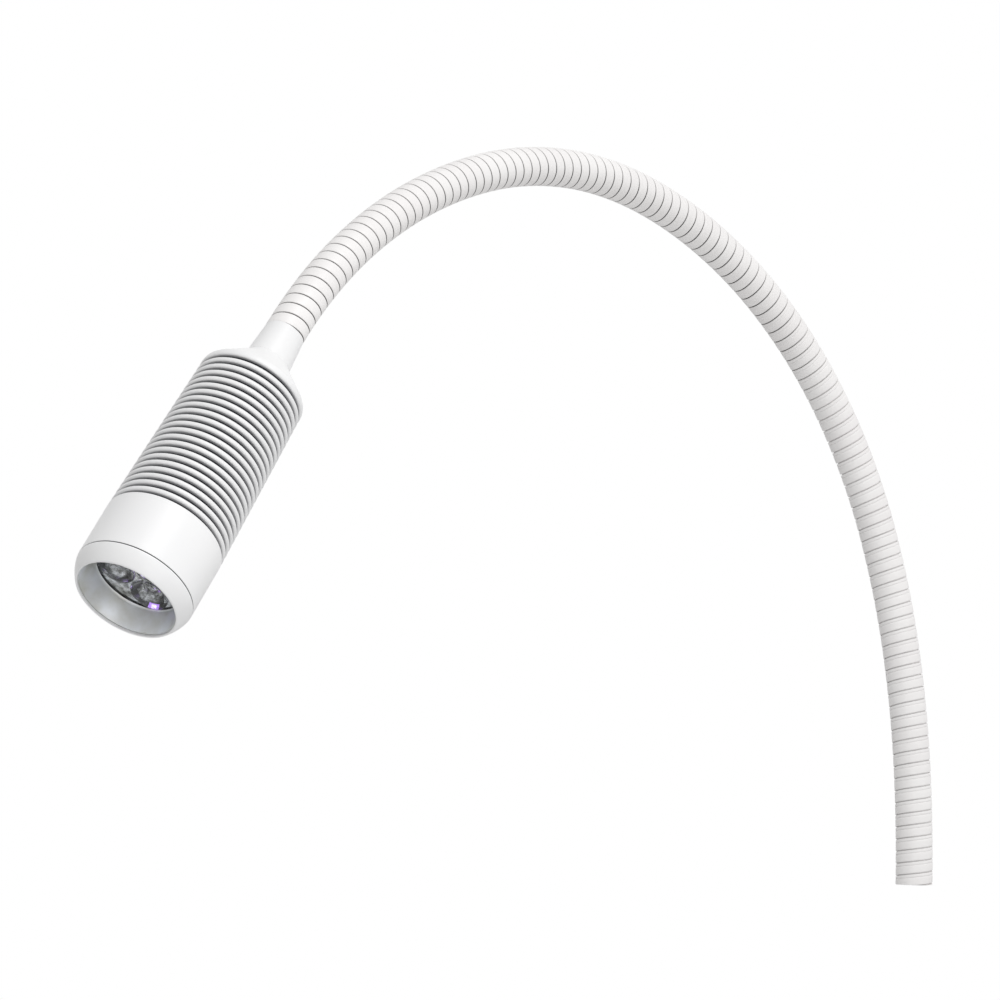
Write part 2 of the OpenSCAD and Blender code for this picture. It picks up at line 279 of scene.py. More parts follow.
centre_line = [bend_points[0]]
tangent = Vector((0, 0, 1))
side = Vector((1, 0, 0))
for start, stop in zip(bend_points, bend_points[1:]):
    chord = stop - start
    half_bend = tangent.angle(chord)
    inward = (chord - chord.dot(tangent) * tangent).normalized()
    arc_radius = chord.length / (2 * math.sin(half_bend))
    for step in range(1, ARC_STEPS + 1):
        turned_by = 2 * half_bend * step / ARC_STEPS
        centre_line.append(
            start
            + arc_radius * math.sin(turned_by) * tangent
            + arc_radius * (1 - math.cos(turned_by)) * inward
        )
    side = Matrix.Rotation(2 * half_bend, 3, tangent.cross(inward)) @ side
    tangent = math.cos(2 * half_bend) * tangent + math.sin(2 * half_bend) * inward


def made_by_nodes(name, base, tree, settings):
    """Runs a node tree on a base mesh and keeps what it makes as a plain mesh."""
    piece = bpy.data.objects.new(name, base)
    bpy.context.scene.collection.objects.link(piece)
    modifier = piece.modifiers.new(name, "NODES")
    modifier.node_group = tree
    for identifier, value in settings.items():
        modifier[identifier] = value
    shown = piece.evaluated_get(bpy.context.evaluated_depsgraph_get())
    mesh = bpy.data.meshes.new_from_object(shown)
    piece.modifiers.remove(modifier)
    piece.data = mesh
    mesh.name = name
    return piece


def new_tree(name, inputs):
    """An empty node tree with one geometry in, one out, and named inputs for its sizes."""
    tree = bpy.data.node_groups.new(name, "GeometryNodeTree")
    tree.interface.new_socket("Base", in_out="INPUT", socket_type="NodeSocketGeometry")
    identifiers = {
        label: tree.interface.new_socket(
            label, in_out="INPUT", socket_type="NodeSocket" + kind
        ).identifier
        for label, kind in inputs.items()
    }
    tree.interface.new_socket("Made", in_out="OUTPUT", socket_type="NodeSocketGeometry")
    return tree, identifiers, tree.nodes.new("NodeGroupInput").outputs


def vector_calc(tree, operation, *values):
    """One sum on vectors in a node tree; a dot product comes out as a number."""
    outputs = node_in(
        tree, "ShaderNodeVectorMath", dict(enumerate(values)), operation=operation
    ).outputs
    return outputs["Value" if operation == "DOT_PRODUCT" else "Vector"]


def captured(tree, curve, field, kind):
    """The curve with a value kept on its points, and that value."""
    node = node_in(tree, "GeometryNodeCaptureAttribute", {"Geometry": curve})
    node.capture_items.new(kind, "kept")
    tree.links.new(field, node.inputs["kept"])
    return node.outputs["Geometry"], node.outputs["kept"]


def finished(tree, geometry, material, sharp):
    """Ends a tree: smooth faces, sharp corners, real meshes and the material."""
    smooth = node_in(
        tree, "GeometryNodeSetShadeSmooth", {"Geometry": geometry, "Shade Smooth": True}
    ).outputs[0]
    corner = node_in(tree, "GeometryNodeInputMeshEdgeAngle").outputs["Unsigned Angle"]
    corner = calc(tree, "GREATER_THAN", corner, sharp)
    smooth = node_in(
        tree,
        "GeometryNodeSetShadeSmooth",
        {"Geometry": smooth, "Selection": corner, "Shade Smooth": False},
        domain="EDGE",
    ).outputs[0]
    real = node_in(tree, "GeometryNodeRealizeInstances", {"Geometry": smooth}).outputs[0]
    made = node_in(
        tree, "GeometryNodeSetMaterial", {"Geometry": real, "Material": material}
    ).outputs[0]
    tree.links.new(made, tree.nodes.new("NodeGroupOutput").inputs["Made"])


winding, winding_in, size = new_tree(
    "strip_winding",
    {
        "Section": "Object",
        "Pitch": "Float",
        "First turn": "Float",
        "Turns": "Float",
        "Start": "Float",
        "Facets": "Int",
        "Paint": "Material",
    },
)
path = node_in(winding, "GeometryNodeMeshToCurve", {"Mesh": size["Base"]}).outputs[0]
strip = node_in(
    winding, "GeometryNodeCurvePrimitiveLine", {"Start": (0, 0, 0), "End": (1, 0, 0)}
).outputs[0]
steps = calc(winding, "MULTIPLY_ADD", size["Turns"], size["Facets"], 1.0)
strip = node_in(
    winding, "GeometryNodeResampleCurve", {"Curve": strip, "Count": steps}
).outputs[0]
factor = node_in(winding, "GeometryNodeSplineParameter").outputs["Factor"]
strip, share = captured(winding, strip, factor, "FLOAT")
section = node_in(
    winding, "GeometryNodeObjectInfo", {"Object": size["Section"]}
).outputs["Geometry"]
section = node_in(winding, "GeometryNodeMeshToCurve", {"Mesh": section}).outputs[0]
place = node_in(winding, "GeometryNodeInputPosition").outputs[0]
section, place = captured(winding, section, place, "VECTOR")
strip = node_in(
    winding,
    "GeometryNodeCurveToMesh",
    {"Curve": strip, "Profile Curve": section, "Fill Caps": True},
).outputs[0]
along, out, _ = node_in(winding, "ShaderNodeSeparateXYZ", {"Vector": place}).outputs
turns_done = calc(winding, "MULTIPLY_ADD", share, size["Turns"], size["First turn"])
hose_length = node_in(winding, "GeometryNodeCurveLength", {"Curve": path}).outputs[0]
distance = calc(winding, "MULTIPLY_ADD", turns_done, size["Pitch"], along)
distance = calc(winding, "ADD", distance, size["Start"])
distance = node_in(
    winding, "ShaderNodeClamp", {"Value": distance, "Min": 0.0, "Max": hose_length}
).outputs[0]
spot = node_in(
    winding,
    "GeometryNodeSampleCurve",
    {"Curves": path, "Length": distance},
    mode="LENGTH",
    use_all_curves=True,
).outputs

line_gone = ranged(winding, distance, FINE_LINE_TO, FINE_LINE_GONE)
on_fine_line = calc(winding, "COMPARE", along, FINE_LINE, FINE_LINE_REACH)
filled = calc(winding, "MULTIPLY", on_fine_line, line_gone)
missing = calc(winding, "SUBTRACT", HOSE_RADIUS, out)
out = calc(winding, "MULTIPLY_ADD", filled, missing, out)
angle = calc(winding, "MULTIPLY", turns_done, 2 * math.pi)
other_side = vector_calc(winding, "CROSS_PRODUCT", spot["Tangent"], spot["Normal"])
cosine = calc(winding, "MULTIPLY", calc(winding, "COSINE", angle), out)
sine = calc(winding, "MULTIPLY", calc(winding, "SINE", angle), out)
spoke = vector_calc(
    winding,
    "ADD",
    vector_calc(winding, "MULTIPLY", spot["Normal"], cosine),
    vector_calc(winding, "MULTIPLY", other_side, sine),
)
wound = vector_calc(winding, "ADD", spot["Position"], spoke)
strip = node_in(
    winding, "GeometryNodeSetPosition", {"Geometry": strip, "Position": wound}
).outputs[0]

# Painted shade in the gaps between turns: darker with depth under the surface, darker towards the
# head, and darker on the arch's inner side.
faint = ranged(winding, out, FAINT_GAP_SHADE_FROM, FAINT_GAP_SHADE_TO, 0.0, FAINT_GAP_SHADE)
deep = ranged(winding, out, DEEP_GAP_SHADE_FROM, DEEP_GAP_SHADE_TO, 0.0, DEEP_GAP_SHADE)
gap_darkening = ranged(winding, distance, GAP_LIGHT_TO, GAP_DARK_FROM, GAP_SHARE_AT_FOOT, 1.0)
inwards = vector_calc(winding, "SUBTRACT", ARCH_MIDDLE, spot["Position"])
inwards = vector_calc(winding, "NORMALIZE", inwards)
inner_side = vector_calc(
    winding, "DOT_PRODUCT", inwards, vector_calc(winding, "NORMALIZE", spoke)
)
inner_side = ranged(winding, inner_side, 0.0, INNER_SIDE_FULL, 1.0, INNER_SIDE_SHADE)
gap_darkening = calc(winding, "MULTIPLY", gap_darkening, inner_side)
soil = calc(winding, "MULTIPLY", calc(winding, "ADD", faint, deep), gap_darkening)
strip = node_in(
    winding,
    "GeometryNodeStoreNamedAttribute",
    {"Geometry": strip, "Name": "soil", "Value": soil},
    data_type="FLOAT",
    domain="POINT",
).outputs[0]
finished(winding, strip, size["Paint"], STRIP_CORNER)


def chain_of_edges(name, points, closed):
    """A mesh of edges only, from point to point."""
    mesh = bpy.data.meshes.new(name)
    edges = [(i, i + 1) for i in range(len(points) - 1)]
    if closed:
        edges.append((len(points) - 1, 0))
    mesh.from_pydata(points, edges, [])
    return mesh


# The dark recess colour paints shade into the gaps between the turns.
neck_coating = shop_finish(
    "neck_coating",
    (0.895, 0.88, 0.872),
    (0.868, 0.848, 0.842),
    rough=(0.36, 0.5),
    patch_mm=35,
    grain_mm=0.45,
    depth_mm=0.045,
    soil_and_shade_colour=(0.10, 0.095, 0.095),
)
section_object = bpy.data.objects.new(
    "strip_section",
    chain_of_edges("strip_section", [(x * MM, y * MM, 0) for x, y in STRIP_SECTION], True),
)
bpy.context.scene.collection.objects.link(section_object)
neck_length = LINK_LENGTH * len(LINKS)

# The winding is measured round from the centre line's normal, which at the foot
# lies across its first step.
first_step = centre_line[1] - centre_line[0]
first_normal = math.atan2(-first_step.x, first_step.y)
strip_start = GAP_AT_FOOT + STRIP_PITCH * first_normal / (2 * math.pi) - GAP_MIDDLE

# Each piece of winding runs from the middle of one link to that of the next.
cuts = [-1.0]
for k in LINKS:
    cuts.append(round((k - 0.5) * LINK_LENGTH / STRIP_PITCH))
cuts.append(math.floor(neck_length / STRIP_PITCH) + 2.0)
neck_bodies = [neck_joints[0]["parent"]] + [j["child"] for j in neck_joints]
for k, (first, last) in enumerate(zip(cuts, cuts[1:])):
    hose = made_by_nodes(
        f"hose_winding_{k}",
        chain_of_edges("centre_line", centre_line, False),
        winding,
        {
            winding_in["Section"]: section_object,
            winding_in["Pitch"]: STRIP_PITCH,
            winding_in["First turn"]: float(first),
            winding_in["Turns"]: float(last - first),
            winding_in["Start"]: strip_start,
            winding_in["Facets"]: STRIP_FACETS,
            winding_in["Paint"]: neck_coating,
        },
    )
    if k == 0:
        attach(hose, neck_bodies[0])
    elif k == len(LINKS):
        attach(hose, neck_bodies[-1])
    else:
        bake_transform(hose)
    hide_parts(f"neck_hose_{max(k, 1)}")
bpy.data.objects.remove(section_object)


# ---------------------------------------------------------------------------
# Collar: a slim white cone pushed into the end of the hose and painted with
# it, so that no edge shows, only the last gap of the winding running out.
# ---------------------------------------------------------------------------
TURNED_FACETS = 144
ROUND_STEPS = 5
ON_AXIS = 1e-6

across = head_axis.cross(side).normalized()
head_place = Matrix.Identity(4)
for column, direction in enumerate((across.cross(head_axis), across, head_axis)):
    head_place.col[column].xyz = direction
head_place.translation = neck_end


def rounded(outline):
    """Outline points (radius, distance, rub) with each corner's rounding worked out.

    A corner is (radius, distance) or (radius, distance, rounding), and only a rounded
    corner is rubbed.
    """
    points = []
    count = len(outline)
    for i, entry in enumerate(outline):
        corner = Vector(entry[:2])
        radius = entry[2] if len(entry) > 2 else 0
        if not radius:
            points.append((*corner, 0.0))
            continue
        back = (Vector(outline[i - 1][:2]) - corner).normalized()
        on = (Vector(outline[(i + 1) % count][:2]) - corner).normalized()
        half = back.angle(on) / 2
        reach = radius / math.tan(half)
        centre = corner + (back + on).normalized() * radius / math.sin(half)
        start = corner + back * reach - centre
        stop = corner + on * reach - centre
        sweep = math.copysign(math.pi - 2 * half, start.cross(stop))
        for step in range(ROUND_STEPS + 1):
            share = step / ROUND_STEPS
            spoke = Matrix.Rotation(sweep * share, 2) @ start
            points.append((*(centre + spoke), math.sin(math.pi * share)))
    return points


def turned_mesh(name, outline, facets=TURNED_FACETS, soil=None):
    """A closed shape turned about the head's axis from its outline in millimetres."""
    shape = bmesh.new()
    rub_layer = shape.verts.layers.float.new("rub_and_highlight")
    soil_and_shade_layer = shape.verts.layers.float.new("soil")
    rings = []
    for radius, distance, rub_and_highlight in rounded(outline):
        ring = []
        for step in range(facets if radius > ON_AXIS else 1):
            around = 2 * math.pi * step / facets
            vert = shape.verts.new(
                (
                    radius * MM * math.cos(around),
                    radius * MM * math.sin(around),
                    distance * MM,
                )
            )
            vert[rub_layer] = rub_and_highlight
            vert[soil_and_shade_layer] = soil(radius, distance) if soil else 0.0
            ring.append(vert)
        rings.append(ring)
    for ring, other in zip(rings, rings[1:] + rings[:1]):
        for step in range(facets):
            after = (step + 1) % facets
            corners = [ring[step % len(ring)], other[step % len(other)]]
            corners += [other[after % len(other)], ring[after % len(ring)]]
            corners = list(dict.fromkeys(corners))
            if len(corners) > 2:
                shape.faces.new(corners)
    bmesh.ops.recalc_face_normals(shape, faces=shape.faces)
    mesh = bpy.data.meshes.new(name)
    shape.to_mesh(mesh)
    shape.free()
    mesh.shade_smooth()
    mesh.set_sharp_from_angle(angle=TURNED_CORNER)
    return mesh


def placed(name, mesh, material, body):
    """Puts a mesh made about the head's axis in the place of the solid of its name."""
    mesh.transform(head_place)
    mesh.materials.clear()
    mesh.materials.append(material)
    piece = bpy.data.objects.new(name, mesh)
    bpy.context.scene.collection.objects.link(piece)
    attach(piece, body)
    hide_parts(name)


# Its dark grey-blue recess colour is painted shade in the barrel's grooves, and also the dark
# joint lines.
head_coating = shop_finish(
    "head_coating",
    (0.88, 0.88, 0.88),
    (0.865, 0.865, 0.87),
    rough=(0.30, 0.42),
    patch_mm=45,
    grain_mm=0.35,
    depth_mm=0.012,
    soil_and_shade_colour=(0.040, 0.043, 0.060),
)
placed(
    "neck_collar",
    turned_mesh(
        "neck_collar",
        [
            (4.0, -11.8, 0.3),
            (8.1, -11.8, 0.5),
            (8.1, -3.0),
            (8.45, -3.0),
            (8.45, 0.0),
            (10.0, 0.0),
            (10.08, 1.2, 2.0),
            (11.4, 19.05),
            (5.1, 19.05),
            (5.1, 5.0),
            (4.0, 5.0),
        ],
    ),
    head_coating,
    "head",
)
finish_nodes(zinc_steel, "collar_nipple", "nipple_nut", "nipple_washer")


# ---------------------------------------------------------------------------
# Rear cap: a hollow cone turned from aluminium, pressed into the barrel and
# held to the collar by the threaded tube and its nut. Its small end runs out in
# the collar, and its front face is the far side of the first groove.
# ---------------------------------------------------------------------------
CAP_EDGE_R = 27.0
RIB_ROUND = 1.1
# Painted shade on a groove's wall: a grey share from near its edge, and a dark share far down.
GREY_SHARE, GREY_FROM, GREY_TO = 0.45, 0.4, 1.0
DARK_SHARE, DARK_FROM, DARK_TO = 0.55, 1.6, 2.4
CAP_FACE_FROM = 38.4


def groove_painted_shade(radius, distance):
    """How much painted shade a groove's wall gets: grey from its edge, and dark far down."""
    depth = CAP_EDGE_R - radius
    grey = min(max((depth - GREY_FROM) / (GREY_TO - GREY_FROM), 0), 1)
    dark = min(max((depth - DARK_FROM) / (DARK_TO - DARK_FROM), 0), 1)
    return GREY_SHARE * grey + DARK_SHARE * dark


def cap_painted_shade(radius, distance):
    """Only the cap's front face, which is a groove's wall, gets painted shade."""
    return groove_painted_shade(radius, distance) if distance > CAP_FACE_FROM else 0.0


placed(
    "rear_cap",
    turned_mesh(
        "rear_cap",
        [
            (5.2, 19.1),
            (11.42, 19.1),
            (11.46, 19.9, 1.9),
            (CAP_EDGE_R, 36.52, 3.0),
            (CAP_EDGE_R, 39.7, RIB_ROUND),
            (25.4, 39.7),
            (24.6, 39.7),
            (21.95, 39.7),
            (21.95, 48.0, 0.3),
            (19.6, 48.0),
            (19.6, 35.2, 1.0),
            (10.0, 24.9),
            (5.2, 24.9),
        ],
        soil=cap_painted_shade,
    ),
    head_coating,
    "head",
)
black_plastic = shop_finish(
    "black_plastic",
    (0.02, 0.02, 0.022),
    (0.028, 0.028, 0.03),
    rough=(0.4, 0.55),
    patch_mm=10,
    grain_mm=0.4,
    depth_mm=0.02,
)
finish_nodes(black_plastic, "cord_grip")


# ---------------------------------------------------------------------------
# Barrel: the heat sink, turned from aluminium bar. Twenty-one round-topped
# ribs stand on a tapered core behind a plain front section, all coated white.
# The grooves are painted dark grey-blue as shade: grey on their walls from the
# edge, and dark far down and on the core between the ribs.
# ---------------------------------------------------------------------------
RIB_COUNT = 21
RIB_PITCH = 4.32 * MM
FIRST_RIB = 42.76 * MM
FIRST_RIB_R, LAST_RIB_R = 27.06, 29.6
RIB_HALF = 1.26
CORE_END, CORE_R = 132.4, 28.4
JOINT_LINE, JOINT_LINE_R = 163.0, 29.4
SPIGOT_R = 27.0

ribbing, ribbing_in, size = new_tree(
    "barrel_ribs",
    {
        "Rib": "Object",
        "Count": "Int",
        "Pitch": "Float",
        "First": "Float",
        "Growth": "Float",
        "Paint": "Material",
    },
)
first_spot = node_in(ribbing, "ShaderNodeCombineXYZ", {"Z": size["First"]}).outputs[0]
step_on = node_in(ribbing, "ShaderNodeCombineXYZ", {"Z": size["Pitch"]}).outputs[0]
spots = node_in(
    ribbing,
    "GeometryNodeMeshLine",
    {"Count": size["Count"], "Start Location": first_spot, "Offset": step_on},
).outputs[0]
number = node_in(ribbing, "GeometryNodeInputIndex").outputs[0]
last = calc(ribbing, "SUBTRACT", size["Count"], 1.0)
wider = calc(ribbing, "MULTIPLY_ADD", calc(ribbing, "DIVIDE", number, last), size["Growth"], 1.0)
wider = node_in(ribbing, "ShaderNodeCombineXYZ", {"X": wider, "Y": wider, "Z": 1.0}).outputs[0]
rib_shape = node_in(ribbing, "GeometryNodeObjectInfo", {"Object": size["Rib"]}).outputs["Geometry"]
ribs = node_in(
    ribbing,
    "GeometryNodeInstanceOnPoints",
    {"Points": spots, "Instance": rib_shape, "Scale": wider},
).outputs[0]
whole = node_in(ribbing, "GeometryNodeJoinGeometry", {"Geometry": size["Base"]})
ribbing.links.new(ribs, whole.inputs["Geometry"])
finished(ribbing, whole.outputs[0], size["Paint"], RIB_CORNER)
rib_object = bpy.data.objects.new(
    "rib",
    turned_mesh(
        "rib",
        [
            (23.4, -RIB_HALF),
            (24.6, -RIB_HALF),
            (25.4, -RIB_HALF),
            (FIRST_RIB_R, -RIB_HALF, RIB_ROUND),
            (FIRST_RIB_R, RIB_HALF, RIB_ROUND),
            (25.4, RIB_HALF),
            (24.6, RIB_HALF),
            (23.4, RIB_HALF),
        ],
        soil=groove_painted_shade,
    ),
)
bpy.context.scene.collection.objects.link(rib_object)


def barrel_shade_and_joint(radius, distance):
    """The core between the ribs is painted dark as shade in the grooves, and the joint line at the
    front is dark.
    """
    between_ribs = distance < CORE_END and radius < CORE_R
    at_joint = distance > JOINT_LINE and SPIGOT_R < radius < JOINT_LINE_R
    return 1.0 if between_ribs or at_joint else 0.0


core = turned_mesh(
    "barrel_core",
    [
        (22.0, 41.5),
        (23.83, 41.5),
        (26.46, 131.3),
        (26.5, 132.2),
        (29.7, 132.2, 0.8),
        (29.7, 163.1, 0.2),
        (29.3, 163.1),
        (27.5, 163.1),
        (27.5, 166.5, 0.2),
        (26.3, 166.5),
        (26.3, 158.5),
        (24.6, 158.5),
        (24.6, 142.0),
        (3.0, 142.0),
        (3.0, 130.0),
        (16.0, 130.0),
        (16.0, 60.0),
        (20.3, 60.0),
        (20.3, 50.0),
        (22.0, 50.0),
    ],
    soil=barrel_shade_and_joint,
)
ribbed = made_by_nodes(
    "ribbed",
    core,
    ribbing,
    {
        ribbing_in["Rib"]: rib_object,
        ribbing_in["Count"]: RIB_COUNT,
        ribbing_in["Pitch"]: RIB_PITCH,
        ribbing_in["First"]: FIRST_RIB,
        ribbing_in["Growth"]: LAST_RIB_R / FIRST_RIB_R - 1,
        ribbing_in["Paint"]: head_coating,
    },
)
barrel_mesh = ribbed.data
bpy.data.objects.remove(ribbed)
bpy.data.objects.remove(rib_object)
placed("barrel", barrel_mesh, head_coating, "head")


# ---------------------------------------------------------------------------
# Driver: a small round board in the barrel with a choke, a capacitor and a
# regulator, held by two screws, with two wires on to the LED board. All of it
# is closed in, so the frame's solids only get their finishes.
# ---------------------------------------------------------------------------
driver_laminate = shop_finish(
    "driver_laminate",
    (0.02, 0.13, 0.05),
    (0.03, 0.16, 0.07),
    rough=(0.25, 0.4),
    patch_mm=9,
    grain_mm=0.3,
    depth_mm=0.01,
)
component_plastic = shop_finish(
    "component_plastic",
    (0.03, 0.03, 0.032),
    (0.045, 0.045, 0.045),
    rough=(0.4, 0.6),
    patch_mm=4,
    grain_mm=0.2,
    depth_mm=0.01,
)
wire_sheath = shop_finish(
    "wire_sheath",
    (0.50, 0.02, 0.02),
    (0.42, 0.02, 0.02),
    rough=(0.35, 0.5),
    patch_mm=6,
    grain_mm=0.3,
    depth_mm=0.01,
)
pad_silicone = shop_finish(
    "pad_silicone",
    (0.30, 0.33, 0.38),
    (0.26, 0.29, 0.34),
    rough=(0.6, 0.75),
    patch_mm=5,
    grain_mm=0.3,
    depth_mm=0.02,
)
finish_nodes(driver_laminate, "driver_board")
finish_nodes(component_plastic, "driver_parts")
finish_nodes(zinc_steel, "driver_screws", "board_screws")
finish_nodes(wire_sheath, "led_wires")
finish_nodes(pad_silicone, "thermal_pad")


# ---------------------------------------------------------------------------
# LED board: a round aluminium board with a white mask, screwed to the barrel's
# web. Each of the three LEDs is a white ceramic base with a yellow phosphor
# square under a clear silicone dome.
# ---------------------------------------------------------------------------
led_board_mask = shop_finish(
    "led_board_mask",
    (0.75, 0.76, 0.76),
    (0.70, 0.71, 0.70),
    rough=(0.3, 0.45),
    patch_mm=6,
    grain_mm=0.2,
    depth_mm=0.008,
)
led_phosphor = shop_finish(
    "led_phosphor",
    (0.72, 0.50, 0.06),
    (0.62, 0.42, 0.05),
    rough=(0.3, 0.4),
    patch_mm=2,
    grain_mm=0.1,
    depth_mm=0.004,
)
finish_nodes(led_board_mask, "led_board")
finish_nodes(led_phosphor, "led_chips")


# ---------------------------------------------------------------------------
# Optic: one clear acrylic moulding with three conical lens bodies that stand
# over the LEDs in a black moulded holder. Each lens is hollowed at the back
# and metallised on its stepped flank, and a raised round face closes it at the
# front. A strip of each flank carries a painted glint that glows violet, with a
# painted white highlight at its core.
# ---------------------------------------------------------------------------
LENS_RING = 11.5
LENS_TURNS = [math.radians(43 + 120 * corner) for corner in range(3)]
LENS_FACETS = 96
LENS_STEPS = 7
LENS_R = 9.5
FLANK_FROM, FLANK_TO = 147.0, 158.4
FLANK_R, FLANK_SWELL, FLANK_CURVE = 4.2, 5.3, 1.3
STEP_IN, STEP_ON = 0.28, 0.35
SMEAR_SCALE, SMEAR_ROUGH = 260.0, 0.04
MIRROR_TO = 158.3 * MM
# Where each lens carries its painted glint, and how strongly that glint glows though no LED is
# lit.
GLINT_TURN = math.radians(-13)
GLINT_FROM, GLINT_HALF = 153.6 * MM, math.radians(16)
GLINT_CORE_FROM, GLINT_CORE_TO, GLINT_CORE_HALF = 154.6 * MM, 157.8 * MM, math.radians(9)
GLINT_GLOW_STRENGTH = 1.8
FLANGE_R, FLANGE_HALF = 24.4, 0.6 * MM
FLANGE_MIDDLE, FLANGE_BACK = 158.0 * MM, 157.5 * MM

clear_acrylic = bpy.data.materials.new("clear_acrylic")
clear_acrylic.use_nodes = True
tree = clear_acrylic.node_tree
shader = tree.nodes["Principled BSDF"]
for socket, value in {
    "Base Color": (0.93, 0.95, 0.96, 1),
    "Transmission Weight": 1.0,
    "IOR": 1.49,
}.items():
    shader.inputs[socket].default_value = value
smears = node_in(
    tree,
    "ShaderNodeTexNoise",
    {
        "Vector": node_in(tree, "ShaderNodeTexCoord").outputs["Object"],
        "Scale": SMEAR_SCALE,
    },
).outputs[0]
smears = ranged(tree, smears, 0.4, 0.7, 0.0, SMEAR_ROUGH)
tree.links.new(smears, shader.inputs["Roughness"])

lens_mirror = shop_finish(
    "lens_mirror",
    (0.92, 0.93, 0.95),
    (0.20, 0.20, 0.19),
    rough=(0.03, 0.12),
    patch_mm=3.5,
    grain_mm=1.2,
    depth_mm=0.04,
    metallic=1.0,
)
# A painted glint: violet tones that glow as if lit, with a painted white highlight set by the
# rubbed mark.
painted_led_glint = shop_finish(
    "painted_led_glint",
    (0.20, 0.10, 0.42),
    (0.34, 0.20, 0.60),
    rough=(0.08, 0.15),
    patch_mm=0.8,
    grain_mm=0.3,
    depth_mm=0.01,
    wear_and_highlight_colour=(1.0, 1.0, 1.0),
)
shader = painted_led_glint.node_tree.nodes["Principled BSDF"]
glint_tone = shader.inputs["Base Color"].links[0].from_socket
painted_led_glint.node_tree.links.new(glint_tone, shader.inputs["Emission Color"])
shader.inputs["Emission Strength"].default_value = GLINT_GLOW_STRENGTH

flank = []
for step in range(LENS_STEPS):
    share = step / LENS_STEPS
    radius = FLANK_R + FLANK_SWELL * math.sin(math.radians(18 + 72 * share)) ** FLANK_CURVE
    distance = FLANK_FROM + (FLANK_TO - FLANK_FROM) * share
    flank += [(radius - STEP_IN, distance), (radius, distance + STEP_ON)]
lens_outline = [
    (0.0, 148.9),
    (1.3, 148.6),
    (2.3, 148.0),
    (2.6, 147.4),
    (2.6, 146.2),
    (FLANK_R, 146.2, 0.2),
    *flank,
    (LENS_R, 159.4, 0.3),
    (4.5, 159.55),
    (0.0, 159.6),
]


def off_glint(place):
    """Angle round a lens between this place and the middle of its painted glint."""
    return abs(GLINT_TURN - math.atan2(place.y, place.x))


lens = turned_mesh("lens", lens_outline, LENS_FACETS)
# Flank faces near the glint's middle take the painted glint, and vertices at its core get the
# rubbed mark for the painted white highlight.
for face in lens.polygons:
    if face.center.z < MIRROR_TO:
        in_glint = off_glint(face.center) < GLINT_HALF and face.center.z > GLINT_FROM
        face.material_index = 2 if in_glint else 1
for vert, rub_and_highlight in zip(lens.vertices, lens.attributes["rub_and_highlight"].data):
    in_glint = off_glint(vert.co) < GLINT_CORE_HALF and GLINT_CORE_FROM < vert.co.z < GLINT_CORE_TO
    rub_and_highlight.value = 1.0 if in_glint else 0.0
moulding = bmesh.new()
for lens_turn in LENS_TURNS:
    around = Matrix.Rotation(lens_turn, 4, "Z")
    before = len(moulding.verts)
    moulding.from_mesh(lens)
    moulding.verts.ensure_lookup_table()
    bmesh.ops.transform(
        moulding,
        matrix=around @ Matrix.Translation((LENS_RING * MM, 0, 0)),
        verts=moulding.verts[before:],
    )
flange = bpy.data.curves.new("flange", "CURVE")
flange.dimensions = "2D"
flange.fill_mode = "BOTH"
flange.extrude = FLANGE_HALF
openings = [
    (LENS_RING * math.cos(lens_turn), LENS_RING * math.sin(lens_turn), LENS_R + 0.05)
    for lens_turn in LENS_TURNS
]
for x, y, radius in [(0, 0, FLANGE_R), *openings]:
    spline = flange.splines.new("POLY")
    spline.points.add(LENS_FACETS - 1)
    for step, point in enumerate(spline.points):
        around = 2 * math.pi * step / LENS_FACETS
        point.co = (
            (x + radius * math.cos(around)) * MM,
            (y + radius * math.sin(around)) * MM,
            0,
            1,
        )
    spline.use_cyclic_u = True
flange_object = bpy.data.objects.new("flange", flange)
bpy.context.scene.collection.objects.link(flange_object)
flange_mesh = bpy.data.meshes.new_from_object(
    flange_object.evaluated_get(bpy.context.evaluated_depsgraph_get())
)
bpy.data.objects.remove(flange_object)
flange_mesh.transform(Matrix.Translation((0, 0, FLANGE_MIDDLE)))
for face in flange_mesh.polygons:
    face.material_index = 1 if face.center.z < FLANGE_BACK else 0
moulding.from_mesh(flange_mesh)
bmesh.ops.remove_doubles(moulding, verts=moulding.verts, dist=1e-6)
bmesh.ops.recalc_face_normals(moulding, faces=moulding.faces)
optic_mesh = bpy.data.meshes.new("optic")
moulding.to_mesh(optic_mesh)
moulding.free()
optic_mesh.shade_smooth()
optic_mesh.set_sharp_from_angle(angle=TURNED_CORNER)
kept_indices = [face.material_index for face in optic_mesh.polygons]
placed("optic", optic_mesh, clear_acrylic, "head")
for material in (lens_mirror, painted_led_glint):
    optic_mesh.materials.append(material)
optic_mesh.polygons.foreach_set("material_index", kept_indices)
finish_nodes(black_plastic, "optic_holder")


